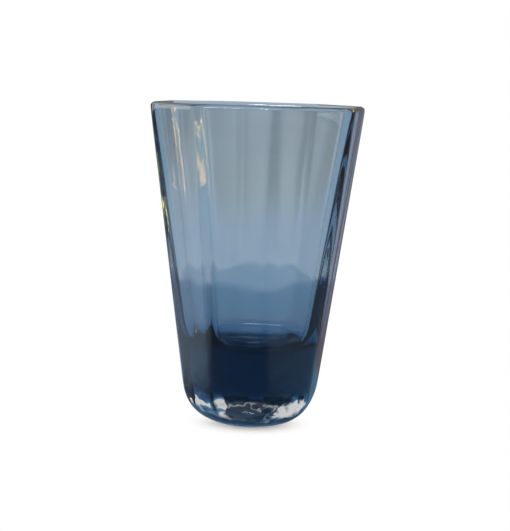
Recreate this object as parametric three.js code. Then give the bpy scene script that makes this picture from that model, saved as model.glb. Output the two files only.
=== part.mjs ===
// Cut crystal vase: clear eight-sided glass cased over a blue lining, tapering to a rounded heel.
// Millimetres, +Z up. The vase stands on z = 0, its axis is Z, and one flat panel faces -Y.

import * as THREE from 'three';

// Outside
const vaseHeight = 200;
const rimAcrossFlats = 127.7;
const heelAcrossFlats = 81.6;
const heelHeight = 26;
const footDiameter = 28;
const panelCount = 8;
const panelEdgeRounding = 12;

// Whole wall, both layers, and the bowl that rounds the hollow off
const wallAtRim = 5.2;
const wallAtBowl = 10.5;
const bowlTop = 78;
const bowlFloor = 48.5;

// Clear layer, which thins out over the thicker lower part of the blue
const clearAtRim = 1.9;
const clearAtLine = 8;
const clearAtCup = 2;
const lineHeight = 95;
const lineDepth = 6;
const clearUnderBlue = 19.8;
const blueBaseDepth = 12;

// The two layers are fused in the glass, and this is the seam that keeps the solids apart
const seamGap = 0.3;

// Forms of the curves, as shares of the sizes that they join
const footCurveReachShare = 0.43;
const footCurveRiseShare = 0.08;
const heelCurveDropShare = 0.8;
const roundestShare = 0.94;
const seamRoundRimShare = 0.25;
const seamRoundBaseShare = 0.45;
const hollowRoundRimShare = 0.3;
const hollowRoundBowlShare = 0.45;
const blueBaseFullness = 4;
const bowlFullness = 5;

// Steps that the curves are drawn in
const cornerSteps = 4;
const heelSteps = 12;
const wallSteps = 6;
const lipSteps = 3;
const lineSteps = 5;
const cupSteps = 4;
const baseSteps = 9;
const bowlSteps = 12;

const { clamp, lerp } = THREE.MathUtils;

// Heights that follow from the sizes
const lineEnd = lineHeight - lineDepth;
const blueBaseTurn = clearUnderBlue + blueBaseDepth;
const lipHeight = wallAtRim / 2;
const lipBase = vaseHeight - lipHeight;

// Axis to the middle of a panel, outside, on the straight wall
function outerReach(height) {
  const riseShare = (height - heelHeight) / (vaseHeight - heelHeight);
  return lerp(heelAcrossFlats, rimAcrossFlats, riseShare) / 2;
}

// Thickness of the clear layer: it grows down to the line, and thins out softly below it
function clearWall(height) {
  if (height >= lineHeight) {
    return lerp(clearAtLine, clearAtRim, (height - lineHeight) / (lipBase - lineHeight));
  }
  const lineShare = Math.min((lineHeight - height) / lineDepth, 1);
  return lerp(clearAtLine, clearAtCup, (1 - Math.cos(lineShare * Math.PI)) / 2);
}

// Axis to the seam between the layers
function seamReach(height) {
  return outerReach(height) - clearWall(height);
}

// Axis to the hollow's straight wall, and to where it would run on below the top of the bowl
function hollowReach(height) {
  const riseShare = (height - bowlTop) / (lipBase - bowlTop);
  return outerReach(height) - lerp(wallAtBowl, wallAtRim, riseShare);
}

// The height a share of the way from one level to another, closer together near the end
function easedHeight(from, to, share) {
  return lerp(from, to, Math.sin(share * Math.PI / 2));
}

// Reach of a rounded bottom, from its full reach down to nothing at its lowest point
function bowlReach(fullReach, depthShare, fullness) {
  return fullReach * (1 - depthShare ** fullness) ** (1 / fullness);
}

// One level of the surface: an outline of flat panels that meet in rounded corners
function outlinePoints({ reach, rounding, height }) {
  const halfPanel = Math.PI / panelCount;
  const radius = Math.min(rounding, reach * roundestShare);
  const toCornerCentre = (reach - radius) / Math.cos(halfPanel);
  const points = [];
  for (let corner = 0; corner < panelCount; corner += 1) {
    const cornerAngle = (2 * corner + 1) * halfPanel;
    for (let step = 0; step <= cornerSteps; step += 1) {
      const angle = cornerAngle + halfPanel * (2 * step / cornerSteps - 1);
      points.push(new THREE.Vector3(
        toCornerCentre * Math.cos(cornerAngle) + radius * Math.cos(angle),
        toCornerCentre * Math.sin(cornerAngle) + radius * Math.sin(angle),
        height,
      ));
    }
  }
  return points;
}

// A closed body lofted through levels, which starts and ends at a point on the axis
function loftedBody(startHeight, levels, endHeight) {
  const rings = levels.map(outlinePoints);
  const around = rings[0].length;
  const points = [new THREE.Vector3(0, 0, startHeight), ...rings.flat()];
  points.push(new THREE.Vector3(0, 0, endHeight));
  const last = points.length - 1;
  const faces = [];
  for (let side = 0; side < around; side += 1) {
    const next = (side + 1) % around;
    faces.push(0, 1 + next, 1 + side);
    for (let ring = 0; ring < rings.length - 1; ring += 1) {
      const low = 1 + ring * around;
      const high = low + around;
      faces.push(low + side, low + next, high + next);
      faces.push(low + side, high + next, high + side);
    }
    faces.push(last - around + side, last - around + next, last);
  }
  const geometry = new THREE.BufferGeometry().setFromPoints(points);
  geometry.setIndex(faces);
  geometry.computeVertexNormals();
  return geometry;
}

// The heel's curve, from the edge of the foot to where the panels run straight
function heelLevels() {
  const slope = (rimAcrossFlats - heelAcrossFlats) / 2 / (vaseHeight - heelHeight);
  const footRadius = footDiameter / 2;
  const heelRadius = heelAcrossFlats / 2;
  const drop = heelHeight * heelCurveDropShare;
  const curve = new THREE.CubicBezierCurve(
    new THREE.Vector2(footRadius, 0),
    new THREE.Vector2(
      lerp(footRadius, heelRadius, footCurveReachShare),
      heelHeight * footCurveRiseShare,
    ),
    new THREE.Vector2(heelRadius - drop * slope, heelHeight - drop),
    new THREE.Vector2(heelRadius, heelHeight),
  );
  return curve.getPoints(heelSteps).map((point) => {
    const roundingShare = (1 - point.y / heelHeight) ** 2;
    return {
      reach: point.x,
      rounding: lerp(panelEdgeRounding, point.x, roundingShare),
      height: point.y,
    };
  });
}

// The straight outer wall, above the heel and up to the lip
function outerWallLevels() {
  const levels = [];
  for (let step = 1; step <= wallSteps; step += 1) {
    const height = lerp(heelHeight, lipBase, step / wallSteps);
    levels.push({ reach: outerReach(height), rounding: panelEdgeRounding, height });
  }
  return levels;
}

// Part of the half-round lip, from one reach inwards to another, with a level on its crown
function lipLevels(from, to) {
  const middle = (outerReach(lipBase) + hollowReach(lipBase)) / 2;
  const halfWall = outerReach(lipBase) - middle;
  const crown = Math.PI / 2;
  const startAngle = Math.acos(clamp((from.reach - middle) / halfWall, -1, 1));
  const endAngle = Math.acos(clamp((to.reach - middle) / halfWall, -1, 1));
  const crossesCrown = startAngle < crown && crown < endAngle;
  const stops = crossesCrown ? [startAngle, crown, endAngle] : [startAngle, endAngle];
  const angles = [startAngle];
  for (let stop = 1; stop < stops.length; stop += 1) {
    for (let step = 1; step <= lipSteps; step += 1) {
      angles.push(lerp(stops[stop - 1], stops[stop], step / lipSteps));
    }
  }
  return angles.map((angle) => ({
    reach: middle + halfWall * Math.cos(angle),
    rounding: lerp(from.rounding, to.rounding, (angle - startAngle) / (endAngle - startAngle)),
    height: lipBase + lipHeight * Math.sin(angle),
  }));
}

// Heights from one level down to another, without the last one
function heightsDown(from, to, steps) {
  const heights = [];
  for (let step = 0; step < steps; step += 1) {
    heights.push(lerp(from, to, step / steps));
  }
  return heights;
}

// The seam between the layers, from the lip down to the blue base, moved in by an inset
function seamLevels(inset) {
  const heights = [
    ...heightsDown(lipBase, lineHeight, wallSteps),
    ...heightsDown(lineHeight, lineEnd, lineSteps),
    ...heightsDown(lineEnd, blueBaseTurn, cupSteps),
    blueBaseTurn,
  ];
  const levels = heights.map((height) => {
    const dropShare = (lipBase - height) / (lipBase - blueBaseTurn);
    const roundShare = lerp(seamRoundRimShare, seamRoundBaseShare, dropShare);
    const reach = seamReach(height);
    return { reach: reach - inset, rounding: reach * roundShare - inset, height };
  });
  const turn = levels[levels.length - 1];
  for (let step = 1; step < baseSteps; step += 1) {
    const height = easedHeight(turn.height, clearUnderBlue + inset, step / baseSteps);
    const depthShare = (turn.height - height) / (turn.height - clearUnderBlue - inset);
    const reach = bowlReach(turn.reach, depthShare, blueBaseFullness);
    levels.push({ reach, rounding: reach * turn.rounding / turn.reach, height });
  }
  return levels;
}

// The hollow, from the lip down its straight wall and into the rounded bowl
function hollowLevels() {
  const levels = heightsDown(lipBase, bowlTop, wallSteps).map((height) => {
    const dropShare = (lipBase - height) / (lipBase - bowlTop);
    const roundShare = lerp(hollowRoundRimShare, hollowRoundBowlShare, dropShare);
    const reach = hollowReach(height);
    return { reach, rounding: reach * roundShare, height };
  });
  for (let step = 0; step < bowlSteps; step += 1) {
    const height = easedHeight(bowlTop, bowlFloor, step / bowlSteps);
    const depthShare = (bowlTop - height) / (bowlTop - bowlFloor);
    const reach = bowlReach(hollowReach(height), depthShare, bowlFullness);
    levels.push({ reach, rounding: reach * hollowRoundBowlShare, height });
  }
  return levels;
}

// Clear outer layer: foot, heel, panels, the outside of the lip and the seat of the blue layer
function crystalCasing() {
  const outside = [...heelLevels(), ...outerWallLevels()];
  const seam = seamLevels(0);
  const lip = lipLevels(outside[outside.length - 1], seam[0]);
  const geometry = loftedBody(0, [...outside, ...lip.slice(1), ...seam], clearUnderBlue);
  const material = new THREE.MeshStandardMaterial({
    color: 0xc9d3da,
    roughness: 0.03,
    metalness: 0,
    transparent: true,
    opacity: 0.35,
  });
  const mesh = new THREE.Mesh(geometry, material);
  mesh.name = 'crystal_casing';
  return mesh;
}

// Blue inner layer: a thick-bottomed cup that holds the hollow and the inside of the lip
function blueLining() {
  const outside = seamLevels(seamGap).reverse();
  const hollow = hollowLevels();
  const lip = lipLevels(outside[outside.length - 1], hollow[0]);
  const levels = [...outside, ...lip.slice(0, -1), ...hollow];
  const geometry = loftedBody(clearUnderBlue + seamGap, levels, bowlFloor);
  const material = new THREE.MeshStandardMaterial({
    color: 0x2f5f8c,
    roughness: 0.03,
    metalness: 0,
    transparent: true,
    opacity: 0.7,
  });
  const mesh = new THREE.Mesh(geometry, material);
  mesh.name = 'blue_lining';
  return mesh;
}

const vase = new THREE.Group();
vase.add(crystalCasing(), blueLining());

export default vase;
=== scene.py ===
# Cased crystal vase: clear panelled glass fused over a blue lining, and the studio it stands in.

import math
from collections import namedtuple

import bmesh
import bpy
from bpy.props import FloatProperty, FloatVectorProperty, PointerProperty
from mathutils import Matrix, Vector


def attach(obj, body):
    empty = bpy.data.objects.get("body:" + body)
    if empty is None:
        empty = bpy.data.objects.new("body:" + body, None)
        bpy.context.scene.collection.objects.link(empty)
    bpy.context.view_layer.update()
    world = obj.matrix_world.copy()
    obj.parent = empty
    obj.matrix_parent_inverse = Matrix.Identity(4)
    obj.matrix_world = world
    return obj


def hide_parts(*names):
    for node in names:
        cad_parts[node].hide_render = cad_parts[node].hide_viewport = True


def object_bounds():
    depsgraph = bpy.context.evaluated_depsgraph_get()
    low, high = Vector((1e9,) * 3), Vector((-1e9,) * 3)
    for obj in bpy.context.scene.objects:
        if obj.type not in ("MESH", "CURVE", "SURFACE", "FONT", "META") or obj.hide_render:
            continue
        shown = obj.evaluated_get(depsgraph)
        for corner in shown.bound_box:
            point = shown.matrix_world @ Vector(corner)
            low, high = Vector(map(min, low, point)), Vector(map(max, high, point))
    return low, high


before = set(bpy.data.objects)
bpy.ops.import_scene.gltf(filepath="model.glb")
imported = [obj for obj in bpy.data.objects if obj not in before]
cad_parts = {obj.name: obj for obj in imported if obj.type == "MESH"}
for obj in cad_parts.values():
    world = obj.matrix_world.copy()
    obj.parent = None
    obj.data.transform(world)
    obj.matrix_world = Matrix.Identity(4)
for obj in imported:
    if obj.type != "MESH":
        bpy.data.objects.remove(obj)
cad_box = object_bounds()

bl_info = {
    "name": "Cased crystal vase",
    "version": (1, 0, 0),
    "blender": (4, 5, 0),
    "location": "3D View > Sidebar > Vase",
    "description": "Models a panelled vase of clear glass cased over blue, with its studio",
    "category": "Object",
}

# One horizontal outline of a skin: axis to the middle of a panel, how round it is, and its height
Level = namedtuple("Level", "reach roundness height")

PANELS = 8
HALF_PANEL = math.pi / PANELS

# Steps that the skins are lofted in, before they are subdivided
CORNER_STEPS = 3
PANEL_CUTS = 3
HEEL_STEPS = 12
WALL_STEPS = 8
LIP_STEPS = 4
LINE_STEPS = 6
CUP_STEPS = 6
BASE_STEPS = 9
BOWL_STEPS = 12
SMOOTH_LEVELS = 2

# Forms of the curves, as shares of the sizes that they join
FOOT_CURVE_REACH_SHARE = 0.43
FOOT_CURVE_RISE_SHARE = 0.08
HEEL_CURVE_DROP_SHARE = 0.8
SEAM_ROUND_RIM_SHARE = 0.25
SEAM_ROUND_BASE_SHARE = 0.45
HOLLOW_ROUND_RIM_SHARE = 0.3
HOLLOW_ROUND_BOWL_SHARE = 0.45

# The small face that closes each end of a skin, as a share of the ring around it
CAP_SHARE = 0.4

# How full the rounded bottoms are: 2 makes an ellipse, and more a flatter bottom with tighter sides
BLUE_BASE_FULLNESS = 4
BOWL_FULLNESS = 5

# Lobes of the line where the blue thickens: how far above and below it they reach, and their size
LINE_REACH = 0.028
LOBE_SIZE = 0.02

# Heights that count as the same, how far a lip face's normal rises, and a sharp edge's angle
SAME_HEIGHT = 1e-6
LIP_NORMAL_RISE = 0.5
EDGE_ANGLE = math.radians(40)

# The glass, and the worked surface's inputs: roughnesses, heights in metres, and scales per metre
GLASS_IOR = 1.52
SURFACE_INPUTS = {
    "Polish": 0.0, "Wave Height": 0.0001, "Wave Scale": 30.0,
    "Heel Ripple": 0.0012, "Smear": 0.02, "Scratches": 0.1,
}

# Waves are drawn out upwards, and ripples come in down the heel between these heights
WAVE_STRETCH = (1, 1, 0.3)
HEEL_RIPPLE_SCALE = 100
RIPPLES_FROM = 0.05
RIPPLES_TO = 0.016

# Smears are the peaks of a noise, and scratches the peaks of a thin slanting one near the foot
SMEAR_SCALE = 22
SMEAR_EDGE = 0.55
SCRATCH_STRETCH = (400, 400, 5000)
SCRATCH_TURN = (0.4, 0.2, 0)
SCRATCH_EDGE = 0.68
SCRATCHES_FROM = 0.01

# The photograph's image, and the camera fitted to it
IMAGE_HEIGHT_PX = 531
FOCAL_LENGTH_PX = 1775
AXIS_OFFSET_PX = 0.9
SENSOR_WIDTH_MM = 36
CAMERA_DISTANCE = 1.1
CAMERA_HEIGHT = 0.222
CAMERA_AZIMUTH = math.radians(10.5)
CAMERA_PITCH = math.radians(6.35)
CAMERA_ROLL = math.radians(1.7)

WHITE = (1, 1, 1, 1)

# The floor, and how far from the middle of the vase it has faded to white
FLOOR_SIDES = 96
FLOOR_RADIUS = 6
FLOOR_COLOUR = (0.95, 0.95, 0.95, 1)
FLOOR_ROUGHNESS = 0.6
SHADOW_REACH = 0.042

# How bright the floor is through the glass, at shares of its radius. It holds a painted shadow of
# the vase, dark and bluish near its foot
VASE_SHADOW_THROUGH_STOPS = [
    (0, (0.035, 0.055, 0.09)), (0.006, (0.06, 0.085, 0.13)), (0.011, (0.15, 0.28, 0.42)),
    (0.028, (0.27, 0.36, 0.5)), (0.047, (0.38, 0.44, 0.52)), (0.067, (0.36, 0.47, 0.58)),
    (0.108, (0.34, 0.46, 0.58)), (0.15, (0.39, 0.49, 0.59)), (0.215, (0.47, 0.53, 0.55)),
    (0.5, (0.47, 0.49, 0.52)), (1, 0.4),
]

# Soft painted streaks of shade and light on the far floor through the glass, which run away from
# the vase:
# the distances that they come in between, how many there are, the values of their noise that are
# dark and bright, and how dark and bright those are
STREAKS_FROM = 0.6
STREAKS_TO = 1.4
STREAK_SCALE = 7
STREAK_NOISE_DARK = 0.3
STREAK_NOISE_BRIGHT = 0.7
STREAK_DARK = 0.62
STREAK_BRIGHT = 1.08

# How bright the floor is that the glass mirrors: across its front part from left to right, with a
# painted shadow in a strip straight in front of the vase and painted bluish light to its left, and
# behind, with the distances behind the vase that the change lies between
MIRROR_WIDTH = 1.2
MIRRORED_SHADOW_AND_LIGHT_STOPS = [
    (0, 0.6), (0.25, (0.65, 0.78, 0.95)), (0.375, (0.6, 0.85, 1.1)), (0.433, (0.2, 0.28, 0.4)),
    (0.5, (0.1, 0.22, 0.4)), (0.542, (0.12, 0.25, 0.4)), (0.6, (0.28, 0.45, 0.62)), (1, 0.5),
]
MIRROR_BEHIND = (0.19, 0.18, 0.23, 1)
MIRROR_FRONT_TO = 0.14
MIRROR_BEHIND_FROM = 0.2

# The room's walls through the glass, dark straight behind the vase and bright aside. Their stops
# go from 0 straight down over 0.5 at the horizon to 1 straight up
WALLS_BEHIND_STOPS = [
    (0, 0.3), (0.52, (0.012, 0.018, 0.028)), (0.56, (0.03, 0.04, 0.05)),
    (0.585, (0.05, 0.062, 0.08)), (0.597, (0.04, 0.05, 0.07)), (0.606, (0.5, 0.53, 0.5)),
    (0.618, (0.05, 0.065, 0.09)), (0.65, (0.035, 0.05, 0.08)), (0.69, (0.06, 0.08, 0.11)),
    (0.72, (0.03, 0.045, 0.07)), (1, 0.1),
]
WALLS_ASIDE = (0.95, 0.95, 0.95, 1)

# Which way the dark walls lie, and the cosines of the turn from there that the change lies between
DARK_AZIMUTH = math.radians(13.5)
DARK_TO = 0.91
BRIGHT_FROM = 0.87

# The horizon through the glass, which goes on from the floor up to the walls, and the ceiling:
# their colours, and the sines of the elevation that the changes lie between
HORIZON = (0.4, 0.4, 0.4, 1)
HORIZON_TO = 0.065
WALLS_FROM = 0.095
CEILING = (0.05, 0.065, 0.09, 1)
CEILING_FROM = 0.35
CEILING_TO = 0.5

# The room that the glass mirrors, from straight down to straight up
ROOM_MIRRORED_STOPS = [(0, 0.2), (0.58, 0.2), (0.7, 0.85), (1, 1)]

# The colours of the lamps
PALE = (1, 1, 1)
WARM = (1, 0.46, 0.03)

# How many faces light may pass: bent by the glass, straight through the seam, and mirrored
GLASS_BOUNCES = 32
STRAIGHT_BOUNCES = 48
MIRROR_BOUNCES = 16


def length(name, description, default):
    """A size of the vase, shown in the scene's length unit."""
    return FloatProperty(
        name=name, description=description, default=default, unit="LENGTH", precision=4,
    )


class VaseSizes(bpy.types.PropertyGroup):
    """Sizes of the two layers of glass."""

    height: length("Height", "Foot to the crown of the lip", cad_box[1].z)
    rim_across_flats: length("Rim", "Across the panels at the top of the wall", 0.1277)
    heel_across_flats: length("Heel", "Across the panels where the heel's curve starts", 0.0816)
    heel_height: length("Heel height", "Foot to the top of the heel's curve", 0.026)
    foot_diameter: length("Foot", "Across the flat that the vase stands on", 0.028)
    edge_rounding: length("Edge rounding", "Radius of the edges between panels", 0.012)
    wall_at_rim: length("Wall at rim", "Both layers at the rim", 0.0052)
    wall_at_bowl: length("Wall at bowl", "Both layers where the hollow's bowl starts", 0.0105)
    clear_at_rim: length("Clear at rim", "Clear layer at the rim", 0.0019)
    clear_at_line: length("Clear at line", "Clear layer just above the blue's thicker part", 0.008)
    clear_at_cup: length("Clear at cup", "Clear layer over the blue's thicker part", 0.002)
    line_height: length("Line height", "Foot to the line where the blue thickens", 0.095)
    line_depth: length("Line depth", "Height over which the blue thickens", 0.006)
    blue_bottom: length("Blue bottom", "Foot to the lowest point of the blue", 0.0198)
    blue_base_depth: length("Blue base depth", "Rounded lower end of the blue", 0.012)
    bowl_top: length("Bowl top", "Foot to where the hollow starts to round", 0.078)
    bowl_floor: length("Bowl floor", "Foot to the lowest point of the hollow", 0.0485)
    seam: length("Seam", "Space that keeps the two fused layers apart", 0.0002)
    line_wander: length("Line wander", "How far the thicker blue's line rises and falls", 0.012)


class VaseGlass(bpy.types.PropertyGroup):
    """Colours of the two glasses."""

    blue_kept: FloatVectorProperty(
        name="Blue kept",
        description="Share of each colour that the blue glass doesn't take up",
        default=(0.05, 0.354, 0.5535), size=3, min=0, max=1, subtype="COLOR",
    )
    blue_density: FloatProperty(
        name="Blue density",
        description="Light taken up per metre of blue glass",
        default=84.2, min=0,
    )
    clear_kept: FloatVectorProperty(
        name="Clear kept",
        description="Share of each colour that the clear glass doesn't take up",
        default=(0.3, 0.32, 0.34), size=3, min=0, max=1, subtype="COLOR",
    )
    clear_density: FloatProperty(
        name="Clear density",
        description="Light taken up per metre of clear glass",
        default=8, min=0,
    )


# Shapes of the skins


def lerp(start, end, share):
    """The value a share of the way from start to end."""
    return start + (end - start) * share


def eased(start, end, share):
    """The same, closer together near the end."""
    return lerp(start, end, math.sin(share * math.pi / 2))


def lip_height(sizes):
    """Half the whole wall at the rim, which makes the lip a half round."""
    return sizes.wall_at_rim / 2


def lip_base(sizes):
    """Where the straight wall ends and the lip starts."""
    return sizes.height - lip_height(sizes)


def outer_reach(sizes, height):
    """Axis to the middle of a panel, on the outside."""
    share = (height - sizes.heel_height) / (sizes.height - sizes.heel_height)
    return lerp(sizes.heel_across_flats, sizes.rim_across_flats, share) / 2


def clear_wall(sizes, height):
    """The clear layer, which grows down to the line where the blue thickens and thins below it."""
    if height >= sizes.line_height:
        share = (lip_base(sizes) - height) / (lip_base(sizes) - sizes.line_height)
        return lerp(sizes.clear_at_rim, sizes.clear_at_line, share)
    share = min((sizes.line_height - height) / sizes.line_depth, 1)
    return lerp(sizes.clear_at_line, sizes.clear_at_cup, (1 - math.cos(share * math.pi)) / 2)


def seam_reach(sizes, height):
    """Axis to the seam between the layers."""
    return outer_reach(sizes, height) - clear_wall(sizes, height)


def hollow_reach(sizes, height):
    """Axis to the hollow's wall, on the straight stretch and drawn on below it."""
    share = (height - sizes.bowl_top) / (lip_base(sizes) - sizes.bowl_top)
    return outer_reach(sizes, height) - lerp(sizes.wall_at_bowl, sizes.wall_at_rim, share)


def bowl_reach(full_reach, depth_share, fullness):
    """Reach of a rounded bottom, from its full reach down to nothing at its lowest point."""
    return full_reach * (1 - depth_share ** fullness) ** (1 / fullness)


def lining_turn(sizes):
    """Where the blue's wall ends and its rounded base starts."""
    return sizes.blue_bottom + sizes.blue_base_depth


def start_level(sizes):
    """The outside at the top of the straight wall, which the casing is lofted from."""
    height = lip_base(sizes)
    reach = outer_reach(sizes, height)
    return Level(reach, sizes.edge_rounding / reach, height)


def wall_levels(sizes):
    """The straight outer wall, from the lip down to the heel."""
    levels = []
    for step in range(1, WALL_STEPS + 1):
        height = lerp(lip_base(sizes), sizes.heel_height, step / WALL_STEPS)
        reach = outer_reach(sizes, height)
        levels.append(Level(reach, sizes.edge_rounding / reach, height))
    return levels


def heel_levels(sizes):
    """The heel, a cubic curve that leaves the wall in line with it, and the flat foot inside it."""
    rim, heel = sizes.rim_across_flats / 2, sizes.heel_across_flats / 2
    foot = sizes.foot_diameter / 2
    slope = (rim - heel) / (sizes.height - sizes.heel_height)
    drop = sizes.heel_height * HEEL_CURVE_DROP_SHARE
    foot_reach = lerp(foot, heel, FOOT_CURVE_REACH_SHARE)
    handles = [
        Vector((heel, sizes.heel_height)),
        Vector((heel - drop * slope, sizes.heel_height - drop)),
        Vector((foot_reach, sizes.heel_height * FOOT_CURVE_RISE_SHARE)),
        Vector((foot, 0)),
    ]
    levels = []
    for step in range(1, HEEL_STEPS + 1):
        share = step / HEEL_STEPS
        left = 1 - share
        weights = [left ** 3, 3 * share * left ** 2, 3 * share ** 2 * left, share ** 3]
        weighted = (handle * weight for handle, weight in zip(handles, weights))
        reach, height = sum(weighted, Vector((0, 0)))
        down_share = (1 - height / sizes.heel_height) ** 2
        levels.append(Level(reach, lerp(sizes.edge_rounding / heel, 1, down_share), height))
    levels.append(Level(foot * CAP_SHARE, 1, 0))
    return levels


def lip_circle(sizes):
    """Axis to the middle of the wall at the lip's base, and half the wall there."""
    outside = outer_reach(sizes, lip_base(sizes))
    middle = (outside + hollow_reach(sizes, lip_base(sizes))) / 2
    return middle, outside - middle


def lip_level(sizes, turn, roundness):
    """A level of the half-round lip, where turn goes from 0 outside to pi inside."""
    middle, half_wall = lip_circle(sizes)
    height = lip_base(sizes) + lip_height(sizes) * math.sin(turn)
    return Level(middle + half_wall * math.cos(turn), roundness, height)


def seam_turn(sizes, reach):
    """The lip's turn where it is at a reach."""
    middle, half_wall = lip_circle(sizes)
    return math.acos((reach - middle) / half_wall)


def seam_levels(sizes, inset):
    """The seam between the layers, from the lip to the bottom of the blue, moved in by an inset."""
    levels = []
    top, line_top, turn_height = lip_base(sizes), sizes.line_height, lining_turn(sizes)
    line_end = line_top - sizes.line_depth
    heights = [lerp(top, line_top, step / WALL_STEPS) for step in range(WALL_STEPS)]
    heights += [lerp(line_top, line_end, step / LINE_STEPS) for step in range(LINE_STEPS)]
    heights += [lerp(line_end, turn_height, step / CUP_STEPS) for step in range(CUP_STEPS + 1)]
    for height in heights:
        share = (top - height) / (top - turn_height)
        roundness = lerp(SEAM_ROUND_RIM_SHARE, SEAM_ROUND_BASE_SHARE, share)
        levels.append(Level(seam_reach(sizes, height) - inset, roundness, height))
    full_reach = levels[-1].reach
    bottom = sizes.blue_bottom - sizes.seam + inset
    for step in range(1, BASE_STEPS):
        height = eased(turn_height, bottom, step / BASE_STEPS)
        depth_share = (turn_height - height) / (turn_height - bottom)
        reach = bowl_reach(full_reach, depth_share, BLUE_BASE_FULLNESS)
        levels.append(Level(reach, SEAM_ROUND_BASE_SHARE, height))
    levels.append(Level(levels[-1].reach * CAP_SHARE, SEAM_ROUND_BASE_SHARE, bottom))
    return levels


def hollow_levels(sizes):
    """The hollow: its straight tapering wall and the bowl that rounds it off."""
    levels = []
    for step in range(WALL_STEPS):
        share = step / WALL_STEPS
        height = lerp(lip_base(sizes), sizes.bowl_top, share)
        roundness = lerp(HOLLOW_ROUND_RIM_SHARE, HOLLOW_ROUND_BOWL_SHARE, share)
        levels.append(Level(hollow_reach(sizes, height), roundness, height))
    for step in range(BOWL_STEPS):
        height = eased(sizes.bowl_top, sizes.bowl_floor, step / BOWL_STEPS)
        depth_share = (sizes.bowl_top - height) / (sizes.bowl_top - sizes.bowl_floor)
        reach = bowl_reach(hollow_reach(sizes, height), depth_share, BOWL_FULLNESS)
        levels.append(Level(reach, HOLLOW_ROUND_BOWL_SHARE, height))
    cap = levels[-1].reach * CAP_SHARE
    levels.append(Level(cap, HOLLOW_ROUND_BOWL_SHARE, sizes.bowl_floor))
    return levels


# Modelling by hand, in edit mode


def add_outline(name, level):
    """Adds a ring of eight panels with round corners, one facing -Y, and stays in edit mode."""
    bpy.ops.object.select_all(action="DESELECT")
    bpy.ops.mesh.primitive_circle_add(
        vertices=PANELS,
        radius=level.reach / math.cos(HALF_PANEL),
        location=(0, 0, level.height),
        rotation=(0, 0, HALF_PANEL),
    )
    piece = bpy.context.object
    piece.name = name
    piece.data.name = name
    bpy.ops.object.transform_apply(location=True, rotation=True, scale=True)
    bpy.ops.object.mode_set(mode="EDIT")
    bpy.ops.mesh.select_mode(type="VERT")
    bpy.ops.mesh.select_all(action="SELECT")
    half_width = level.reach * math.tan(HALF_PANEL)
    cut = level.roundness * half_width
    bpy.ops.mesh.bevel(offset=cut, segments=CORNER_STEPS, affect="VERTICES")
    bpy.ops.mesh.select_mode(type="EDGE")
    mesh = bmesh.from_edit_mesh(piece.data)
    for edge in mesh.edges:
        edge.select_set(edge.calc_length() > half_width)
    bmesh.update_edit_mesh(piece.data)
    bpy.ops.mesh.subdivide(number_cuts=PANEL_CUTS)
    bpy.ops.mesh.select_mode(type="VERT")
    bpy.ops.mesh.select_all(action="SELECT")
    return piece


def pick_ring(piece, height):
    """Selects the ring at a height, while only one skin has been lofted from it."""
    bpy.ops.mesh.select_all(action="DESELECT")
    mesh = bmesh.from_edit_mesh(piece.data)
    nearest = min(abs(vertex.co.z - height) for vertex in mesh.verts)
    for vertex in mesh.verts:
        vertex.select_set(abs(vertex.co.z - height) < nearest + SAME_HEIGHT)
    mesh.select_flush_mode()
    bmesh.update_edit_mesh(piece.data)


def ring_reach(piece):
    """Axis to the nearest point of the selected ring, which is the middle of a panel."""
    mesh = bmesh.from_edit_mesh(piece.data)
    return min(vertex.co.xy.length for vertex in mesh.verts if vertex.select)


def loft(piece, start, levels):
    """Extrudes the selected ring from level to level, turned rounder and drawn to its reach."""
    before = start
    for level in levels:
        rise = (0, 0, level.height - before.height)
        bpy.ops.mesh.extrude_region_move(TRANSFORM_OT_translate={"value": rise})
        centre = (0, 0, level.height)
        if level.roundness > before.roundness:
            share = (level.roundness - before.roundness) / (1 - before.roundness)
            bpy.ops.transform.tosphere(value=share, center_override=centre)
        size = level.reach / ring_reach(piece)
        bpy.ops.transform.resize(value=(size, size, 1), center_override=centre)
        before = level


def close_end():
    """Fills the selected ring with one face."""
    bpy.ops.mesh.edge_face_add()


def face_out():
    """Turns every face of the piece outwards."""
    bpy.ops.mesh.select_all(action="SELECT")
    bpy.ops.mesh.normals_make_consistent(inside=False)


def mark_fused(piece, sizes, looks_in):
    """Gives the seam's faces the attribute fused, 1 where the two layers are one glass."""
    bpy.ops.object.mode_set(mode="OBJECT")
    bpy.ops.geometry.attribute_add(name="fused", domain="FACE", data_type="FLOAT")
    bpy.ops.object.mode_set(mode="EDIT")
    piece.data.attributes.active = piece.data.attributes["fused"]
    bpy.ops.mesh.select_mode(type="FACE")
    bpy.ops.mesh.select_all(action="DESELECT")
    mesh = bmesh.from_edit_mesh(piece.data)
    for face in mesh.faces:
        middle = face.calc_center_median()
        # Towards the axis and upwards, so that the faces under the hollow count as looking in too
        inwards = Vector((-middle.x, -middle.y, sizes.foot_diameter / 2))
        faces_in = face.normal.dot(inwards) > 0
        on_lip = middle.z > lip_base(sizes) and face.normal.z > LIP_NORMAL_RISE
        face.select_set(faces_in == looks_in and not on_lip)
    bmesh.update_edit_mesh(piece.data)
    bpy.ops.mesh.attribute_set(value_float=1)


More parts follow.
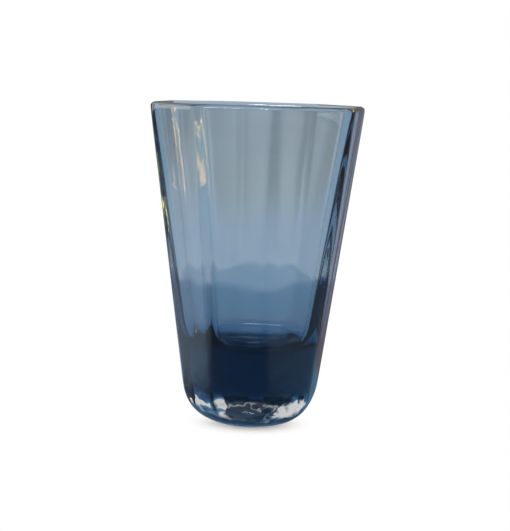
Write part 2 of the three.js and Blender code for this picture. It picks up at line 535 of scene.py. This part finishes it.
def wander_line(piece, sizes):
    """Lets the line where the blue thickens rise and fall in soft lobes, alike on both layers."""
    group = piece.vertex_groups.new(name="line")
    middle = sizes.line_height - sizes.line_depth / 2
    marks = piece.data.attributes["fused"].data
    fused = [face for face, mark in zip(piece.data.polygons, marks) if mark.value > 0]
    for index in {index for face in fused for index in face.vertices}:
        nearness = 1 - abs(piece.data.vertices[index].co.z - middle) / LINE_REACH
        if nearness > 0:
            group.add([index], nearness ** 2 * (3 - 2 * nearness), "REPLACE")
    lobes = bpy.data.textures.get("lobes") or bpy.data.textures.new("lobes", "CLOUDS")
    lobes.noise_scale = LOBE_SIZE
    lobes.noise_depth = 0
    wander = piece.modifiers.new("wander", "DISPLACE")
    wander.texture = lobes
    wander.texture_coords = "LOCAL"
    wander.direction = "Z"
    wander.vertex_group = group.name
    wander.strength = sizes.line_wander
    bpy.ops.object.modifier_apply(modifier=wander.name)
    bpy.ops.object.vertex_group_remove(all=True)


def finish_mesh(piece, sizes):
    """Subdivides the loft, moves its line, and shades it smooth but for the seam's edge."""
    bpy.ops.object.mode_set(mode="OBJECT")
    smooth = piece.modifiers.new("smooth", "SUBSURF")
    smooth.levels = SMOOTH_LEVELS
    smooth.render_levels = SMOOTH_LEVELS
    bpy.ops.object.modifier_apply(modifier=smooth.name)
    wander_line(piece, sizes)
    bpy.ops.object.shade_smooth_by_angle(angle=EDGE_ANGLE)


# Nodes


def link(tree, start, end):
    """Joins an output socket to an input socket."""
    tree.links.new(start, end)


def feed(tree, value, socket):
    """Gives an input socket its value, which is another socket or a plain one."""
    if isinstance(value, bpy.types.NodeSocket):
        link(tree, value, socket)
    else:
        socket.default_value = value


def add_node(tree, kind, **values):
    """Adds a node, with its properties set by name."""
    node = tree.nodes.new(kind)
    for name, value in values.items():
        setattr(node, name, value)
    return node


def math_node(tree, operation, first, second):
    """A Math node of two values, each a socket or a number."""
    node = add_node(tree, "ShaderNodeMath", operation=operation)
    for socket, value in zip(node.inputs, (first, second)):
        feed(tree, value, socket)
    return node.outputs["Value"]


def step_node(tree, value, start, end, low=0, high=1):
    """A smooth step from low to high as a value goes from start to end."""
    node = add_node(tree, "ShaderNodeMapRange", interpolation_type="SMOOTHSTEP")
    link(tree, value, node.inputs["Value"])
    limits = {"From Min": start, "From Max": end, "To Min": low, "To Max": high}
    for name, limit in limits.items():
        node.inputs[name].default_value = limit
    return node.outputs["Result"]


def axes_node(tree, vector):
    """The X, Y and Z of a vector."""
    node = add_node(tree, "ShaderNodeSeparateXYZ")
    link(tree, vector, node.inputs["Vector"])
    return node.outputs


def stretch_node(tree, vector, scale, turn=(0, 0, 0)):
    """A vector turned and stretched."""
    node = add_node(tree, "ShaderNodeMapping")
    link(tree, vector, node.inputs["Vector"])
    node.inputs["Scale"].default_value = scale
    node.inputs["Rotation"].default_value = turn
    return node.outputs["Vector"]


def noise_node(tree, vector, scale, detail, roughness=0.5):
    """The plain value of a Noise Texture."""
    node = add_node(tree, "ShaderNodeTexNoise")
    link(tree, vector, node.inputs["Vector"])
    feed(tree, scale, node.inputs["Scale"])
    node.inputs["Detail"].default_value = detail
    node.inputs["Roughness"].default_value = roughness
    return node.outputs["Fac"]


def ramp_node(tree, value, stops):
    """A Color Ramp through stops of place and colour, or of place and grey."""
    node = add_node(tree, "ShaderNodeValToRGB")
    elements = node.color_ramp.elements
    elements[0].position, elements[1].position = stops[0][0], stops[-1][0]
    for place, _ in stops[1:-1]:
        elements.new(place)
    for element, (_, colour) in zip(elements, stops):
        element.color = (*(colour if isinstance(colour, tuple) else [colour] * 3), 1)
    link(tree, value, node.inputs["Fac"])
    return node.outputs["Color"]


def mix_colour(tree, share, first, second):
    """Two colours, each a socket or a plain one, mixed by a share."""
    node = add_node(tree, "ShaderNodeMix", data_type="RGBA")
    link(tree, share, node.inputs["Factor"])
    feed(tree, first, node.inputs["A"])
    feed(tree, second, node.inputs["B"])
    return node.outputs["Result"]


def mix_shader(tree, share, first, second):
    """Two shaders mixed by a share."""
    node = add_node(tree, "ShaderNodeMixShader")
    for socket, start in zip(node.inputs, (share, first, second)):
        link(tree, start, socket)
    return node.outputs["Shader"]


# Glass


def worked_glass_group():
    """Surface of hand-worked glass: slow waves, heel ripples, faint smears and fine scratches."""
    group = bpy.data.node_groups.new("worked glass", "ShaderNodeTree")
    for name, default in SURFACE_INPUTS.items():
        socket = group.interface.new_socket(name, in_out="INPUT", socket_type="NodeSocketFloat")
        socket.default_value = default
    for name in ("Roughness", "Height"):
        group.interface.new_socket(name, in_out="OUTPUT", socket_type="NodeSocketFloat")
    values = add_node(group, "NodeGroupInput").outputs
    results = add_node(group, "NodeGroupOutput").inputs
    place = add_node(group, "ShaderNodeTexCoord").outputs["Object"]
    height = axes_node(group, place)["Z"]

    upright = stretch_node(group, place, WAVE_STRETCH)
    waves = noise_node(group, upright, values["Wave Scale"], detail=1)
    centred = math_node(group, "SUBTRACT", waves, 0.5)
    slow = math_node(group, "MULTIPLY", centred, values["Wave Height"])

    ripples = noise_node(group, place, HEEL_RIPPLE_SCALE, detail=1)
    even = math_node(group, "SUBTRACT", ripples, 0.5)
    deep = math_node(group, "MULTIPLY", even, values["Heel Ripple"])
    in_heel = step_node(group, height, RIPPLES_FROM, RIPPLES_TO)
    rippled = math_node(group, "MULTIPLY", deep, in_heel)
    link(group, math_node(group, "ADD", slow, rippled), results["Height"])

    smears = noise_node(group, place, SMEAR_SCALE, detail=3, roughness=0.6)
    peaks = math_node(group, "MAXIMUM", math_node(group, "SUBTRACT", smears, SMEAR_EDGE), 0)
    smeared = math_node(group, "MULTIPLY", peaks, values["Smear"])

    slanting = stretch_node(group, place, SCRATCH_STRETCH, SCRATCH_TURN)
    hairs = noise_node(group, slanting, 1, detail=2)
    lines = math_node(group, "GREATER_THAN", hairs, SCRATCH_EDGE)
    near_foot = step_node(group, height, SCRATCHES_FROM, 0)
    worn = math_node(group, "MULTIPLY", lines, near_foot)
    scratched = math_node(group, "MULTIPLY", worn, values["Scratches"])

    marks = math_node(group, "ADD", smeared, scratched)
    link(group, math_node(group, "ADD", values["Polish"], marks), results["Roughness"])


def glass_material(name, kept, density, wave_height, wave_scale):
    """Solid glass that takes up light with depth, and lets it straight through where fused."""
    material = bpy.data.materials.new(name)
    material.use_nodes = True
    tree = material.node_tree
    shader = tree.nodes["Principled BSDF"]
    shader.inputs["Base Color"].default_value = WHITE
    shader.inputs["Transmission Weight"].default_value = 1
    shader.inputs["IOR"].default_value = GLASS_IOR

    worked = bpy.data.node_groups["worked glass"]
    surface = add_node(tree, "ShaderNodeGroup", node_tree=worked)
    surface.inputs["Wave Height"].default_value = wave_height
    surface.inputs["Wave Scale"].default_value = wave_scale
    link(tree, surface.outputs["Roughness"], shader.inputs["Roughness"])
    bump = add_node(tree, "ShaderNodeBump")
    bump.inputs["Distance"].default_value = 1
    link(tree, surface.outputs["Height"], bump.inputs["Height"])
    link(tree, bump.outputs["Normal"], shader.inputs["Normal"])

    fused = add_node(tree, "ShaderNodeAttribute", attribute_name="fused")
    link(tree, math_node(tree, "SUBTRACT", 1, fused.outputs["Fac"]), shader.inputs["Alpha"])

    absorption = add_node(tree, "ShaderNodeVolumeAbsorption")
    absorption.inputs["Color"].default_value = (*kept, 1)
    absorption.inputs["Density"].default_value = density
    link(tree, absorption.outputs["Volume"], tree.nodes["Material Output"].inputs["Volume"])
    return material


# The studio


def room_through_glass(tree, place, rise, height):
    """The room as the glass shows it: horizon, walls that are dark behind the vase, and ceiling."""
    heading = add_node(tree, "ShaderNodeVectorMath", operation="DOT_PRODUCT")
    link(tree, place, heading.inputs[0])
    heading.inputs[1].default_value = (-math.sin(DARK_AZIMUTH), math.cos(DARK_AZIMUTH), 0)
    aside = step_node(tree, heading.outputs["Value"], DARK_TO, BRIGHT_FROM)
    behind = ramp_node(tree, height, WALLS_BEHIND_STOPS)
    walls = mix_colour(tree, aside, behind, WALLS_ASIDE)
    upper = mix_colour(tree, step_node(tree, rise, CEILING_FROM, CEILING_TO), walls, CEILING)
    return mix_colour(tree, step_node(tree, rise, HORIZON_TO, WALLS_FROM), HORIZON, upper)


def make_world():
    """White to the camera, plain light on matt things, and a greyer, bluer room in the glass."""
    world = bpy.data.worlds.new("studio")
    bpy.context.scene.world = world
    world.use_nodes = True
    tree = world.node_tree
    place = add_node(tree, "ShaderNodeTexCoord").outputs["Generated"]
    rise = axes_node(tree, place)["Z"]
    height = add_node(tree, "ShaderNodeMapRange")
    height.inputs["From Min"].default_value = -1
    link(tree, rise, height.inputs["Value"])
    through = room_through_glass(tree, place, rise, height.outputs["Result"])
    mirrored = ramp_node(tree, height.outputs["Result"], ROOM_MIRRORED_STOPS)
    rays = add_node(tree, "ShaderNodeLightPath").outputs
    in_glass = mix_colour(tree, rays["Is Transmission Ray"], mirrored, through)
    plain = mix_colour(tree, rays["Is Glossy Ray"], WHITE, in_glass)
    seen = mix_colour(tree, rays["Is Camera Ray"], plain, WHITE)
    link(tree, seen, tree.nodes["Background"].inputs["Color"])


def floor_with_shadow(tree, away):
    """The floor as the camera sees it: it keeps the vase's soft shadow and fades to white."""
    matt = tree.nodes["Principled BSDF"]
    matt.inputs["Base Color"].default_value = FLOOR_COLOUR
    matt.inputs["Roughness"].default_value = FLOOR_ROUGHNESS
    matt.inputs["Specular IOR Level"].default_value = 0
    white = add_node(tree, "ShaderNodeEmission")
    faded = step_node(tree, away, 0, SHADOW_REACH)
    return mix_shader(tree, faded, matt.outputs["BSDF"], white.outputs["Emission"])


def floor_through_glass(tree, away, axes):
    """The floor as it shows through the glass, with a painted shadow of the vase near its foot and
    soft painted streaks of shade and light far away from it.
    """
    # Painted shadow of the vase: the floor is dark and bluish near its foot
    plain = ramp_node(tree, math_node(tree, "DIVIDE", away, FLOOR_RADIUS), VASE_SHADOW_THROUGH_STOPS)
    # Painted streaks of shade and light, which run away from the vase
    noise = add_node(tree, "ShaderNodeTexNoise", noise_dimensions="1D")
    link(tree, math_node(tree, "DIVIDE", axes["X"], axes["Y"]), noise.inputs["W"])
    noise.inputs["Scale"].default_value = STREAK_SCALE
    noise.inputs["Detail"].default_value = 0
    streaks = step_node(
        tree, noise.outputs["Fac"], STREAK_NOISE_DARK, STREAK_NOISE_BRIGHT,
        low=STREAK_DARK, high=STREAK_BRIGHT,
    )
    come_in = step_node(tree, away, STREAKS_FROM, STREAKS_TO)
    go_out = step_node(tree, away, FLOOR_RADIUS, STREAKS_TO)
    strength = math_node(tree, "MULTIPLY", come_in, go_out)
    darkening = math_node(tree, "SUBTRACT", 1, streaks)
    darkened = math_node(tree, "MULTIPLY", strength, darkening)
    streaked = add_node(tree, "ShaderNodeVectorMath", operation="SCALE")
    link(tree, plain, streaked.inputs[0])
    link(tree, math_node(tree, "SUBTRACT", 1, darkened), streaked.inputs["Scale"])
    return streaked.outputs["Vector"]


def floor_mirrored(tree, axes):
    """The floor as the glass mirrors it, in front of the vase with its painted shadow and light,
    and behind it.
    """
    across = math_node(tree, "ADD", math_node(tree, "DIVIDE", axes["X"], MIRROR_WIDTH), 0.5)
    # Painted shadow in a strip straight in front of the vase, and painted bluish light to its left
    front = ramp_node(tree, across, MIRRORED_SHADOW_AND_LIGHT_STOPS)
    behind = step_node(tree, axes["Y"], MIRROR_FRONT_TO, MIRROR_BEHIND_FROM)
    return mix_colour(tree, behind, front, MIRROR_BEHIND)


def floor_material():
    """A pale floor to the camera, and a greyer, bluer one in the glass, with painted shadow and
    light.
    """
    material = bpy.data.materials.new("pale floor")
    material.use_nodes = True
    tree = material.node_tree
    place = add_node(tree, "ShaderNodeTexCoord").outputs["Object"]
    axes = axes_node(tree, place)
    distance = add_node(tree, "ShaderNodeVectorMath", operation="LENGTH")
    link(tree, place, distance.inputs["Vector"])
    away = distance.outputs["Value"]
    rays = add_node(tree, "ShaderNodeLightPath").outputs
    through = floor_through_glass(tree, away, axes)
    colour = mix_colour(tree, rays["Is Transmission Ray"], floor_mirrored(tree, axes), through)
    in_glass = add_node(tree, "ShaderNodeEmission")
    link(tree, colour, in_glass.inputs["Color"])
    bent = math_node(tree, "MAXIMUM", rays["Is Transmission Ray"], rays["Is Glossy Ray"])
    shader = mix_shader(tree, bent, floor_with_shadow(tree, away), in_glass.outputs["Emission"])
    link(tree, shader, tree.nodes["Material Output"].inputs["Surface"])
    return material


def make_floor():
    """The floor that the vase stands on."""
    bpy.ops.object.select_all(action="DESELECT")
    bpy.ops.mesh.primitive_circle_add(
        vertices=FLOOR_SIDES, radius=FLOOR_RADIUS, fill_type="NGON", location=(0, 0, 0),
    )
    floor = bpy.context.object
    floor.name = "floor"
    floor.data.materials.append(floor_material())


def add_soft_box(name, place, size, power, colour=PALE, through_glass=True):
    """A rectangular lamp that faces the middle of the vase, and shows in the glass only."""
    lamp = bpy.data.lights.new(name, "AREA")
    lamp.shape = "RECTANGLE"
    lamp.size, lamp.size_y = size
    lamp.energy = power
    lamp.color = colour
    holder = bpy.data.objects.new(name, lamp)
    holder.visible_diffuse = False
    holder.visible_transmission = through_glass
    bpy.context.scene.collection.objects.link(holder)
    middle = Vector((0, 0, cad_box[1].z / 2))
    holder.location = place
    holder.rotation_euler = (middle - Vector(place)).to_track_quat("-Z", "Y").to_euler()


def make_camera():
    """The camera at the photograph's angle, with the small roll and offset of its framing."""
    camera = bpy.data.cameras.new("camera")
    holder = bpy.data.objects.new("camera", camera)
    bpy.context.scene.collection.objects.link(holder)
    bpy.context.scene.camera = holder
    camera.sensor_width = SENSOR_WIDTH_MM
    camera.lens = FOCAL_LENGTH_PX / IMAGE_HEIGHT_PX * SENSOR_WIDTH_MM
    camera.shift_x = AXIS_OFFSET_PX / IMAGE_HEIGHT_PX
    holder.location = (
        CAMERA_DISTANCE * math.sin(CAMERA_AZIMUTH),
        -CAMERA_DISTANCE * math.cos(CAMERA_AZIMUTH),
        CAMERA_HEIGHT,
    )
    turn = (
        Matrix.Rotation(CAMERA_AZIMUTH, 4, "Z")
        @ Matrix.Rotation(math.pi / 2 - CAMERA_PITCH, 4, "X")
        @ Matrix.Rotation(CAMERA_ROLL, 4, "Z")
    )
    holder.rotation_euler = turn.to_euler()


# Operators


class VASE_OT_casing(bpy.types.Operator):
    """Model the clear outer layer, with its panels, heel, foot and the outside of the lip"""

    bl_idname = "vase.casing"
    bl_label = "Crystal casing"
    bl_options = {"REGISTER", "UNDO"}

    def execute(self, context):
        sizes, glass = context.scene.vase_sizes, context.scene.vase_glass
        start = start_level(sizes)
        casing = add_outline("clear_casing", start)
        loft(casing, start, wall_levels(sizes) + heel_levels(sizes))
        close_end()
        pick_ring(casing, start.height)
        seam = seam_levels(sizes, 0)
        last_turn = seam_turn(sizes, seam[0].reach)
        lip = []
        for step in range(1, LIP_STEPS + 1):
            share = step / LIP_STEPS
            roundness = lerp(start.roundness, seam[0].roundness, share)
            lip.append(lip_level(sizes, last_turn * share, roundness))
        loft(casing, start, lip)
        bpy.ops.transform.edge_crease(value=1)
        loft(casing, lip[-1], seam)
        close_end()
        face_out()
        mark_fused(casing, sizes, looks_in=True)
        finish_mesh(casing, sizes)
        casing.data.materials.append(glass_material(
            "clear crystal", glass.clear_kept, glass.clear_density,
            wave_height=0.0001, wave_scale=45,
        ))
        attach(casing, "root")
        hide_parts("crystal_casing")
        return {"FINISHED"}


class VASE_OT_lining(bpy.types.Operator):
    """Model the blue inner layer, with the hollow, its bowl and the inside of the lip"""

    bl_idname = "vase.lining"
    bl_label = "Blue lining"
    bl_options = {"REGISTER", "UNDO"}

    def execute(self, context):
        sizes, glass = context.scene.vase_sizes, context.scene.vase_glass
        seam = seam_levels(sizes, sizes.seam)
        first_turn = seam_turn(sizes, seam[0].reach)
        start = lip_level(sizes, first_turn, seam[0].roundness)
        lining = add_outline("blue_cup", start)
        bpy.ops.transform.edge_crease(value=1)
        loft(lining, start, seam)
        close_end()
        pick_ring(lining, start.height)
        hollow = hollow_levels(sizes)
        lip = []
        for step in range(1, 2 * LIP_STEPS):
            share = step / LIP_STEPS / 2
            roundness = lerp(start.roundness, hollow[0].roundness, share)
            lip.append(lip_level(sizes, lerp(first_turn, math.pi, share), roundness))
        loft(lining, start, lip + hollow)
        close_end()
        face_out()
        mark_fused(lining, sizes, looks_in=False)
        finish_mesh(lining, sizes)
        lining.data.materials.append(glass_material(
            "blue glass", glass.blue_kept, glass.blue_density,
            wave_height=0.00025, wave_scale=50,
        ))
        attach(lining, "root")
        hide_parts("blue_lining")
        return {"FINISHED"}


class VASE_OT_studio(bpy.types.Operator):
    """Set up the floor, the light and the camera"""

    bl_idname = "vase.studio"
    bl_label = "Studio"
    bl_options = {"REGISTER", "UNDO"}

    def execute(self, context):
        scene = context.scene
        make_camera()
        make_world()
        make_floor()
        add_soft_box(
            "left soft box", place=(-1.4, 0.5, 0.5), size=(0.9, 1.2), power=5,
            through_glass=False,
        )
        add_soft_box("top soft box", place=(-0.3, -1.1, 1.1), size=(0.5, 0.12), power=5)
        add_soft_box(
            "warm window", place=(1.12, 0.8, 0.42), size=(0.08, 0.3), power=210, colour=WARM,
        )
        scene.view_settings.view_transform = "Standard"
        scene.cycles.max_bounces = GLASS_BOUNCES
        scene.cycles.transmission_bounces = GLASS_BOUNCES
        scene.cycles.transparent_max_bounces = STRAIGHT_BOUNCES
        scene.cycles.glossy_bounces = MIRROR_BOUNCES
        return {"FINISHED"}


class VASE_PT_panel(bpy.types.Panel):
    """The vase's pieces, sizes and glass in the sidebar"""

    bl_idname = "VASE_PT_panel"
    bl_label = "Cased crystal vase"
    bl_space_type = "VIEW_3D"
    bl_region_type = "UI"
    bl_category = "Vase"

    def draw(self, context):
        for operator in (VASE_OT_casing, VASE_OT_lining, VASE_OT_studio):
            self.layout.operator(operator.bl_idname)
        for group in (context.scene.vase_sizes, context.scene.vase_glass):
            for name in group.bl_rna.properties.keys():
                if name not in ("rna_type", "name"):
                    self.layout.prop(group, name)


classes = (VaseSizes, VaseGlass, VASE_OT_casing, VASE_OT_lining, VASE_OT_studio, VASE_PT_panel)


def register():
    for cls in classes:
        bpy.utils.register_class(cls)
    bpy.types.Scene.vase_sizes = PointerProperty(type=VaseSizes)
    bpy.types.Scene.vase_glass = PointerProperty(type=VaseGlass)


def unregister():
    del bpy.types.Scene.vase_glass
    del bpy.types.Scene.vase_sizes
    for cls in reversed(classes):
        bpy.utils.unregister_class(cls)


def main():
    register()
    worked_glass_group()
    bpy.ops.vase.casing()
    bpy.ops.vase.lining()
    bpy.ops.vase.studio()


if __name__ == "__main__":
    main()
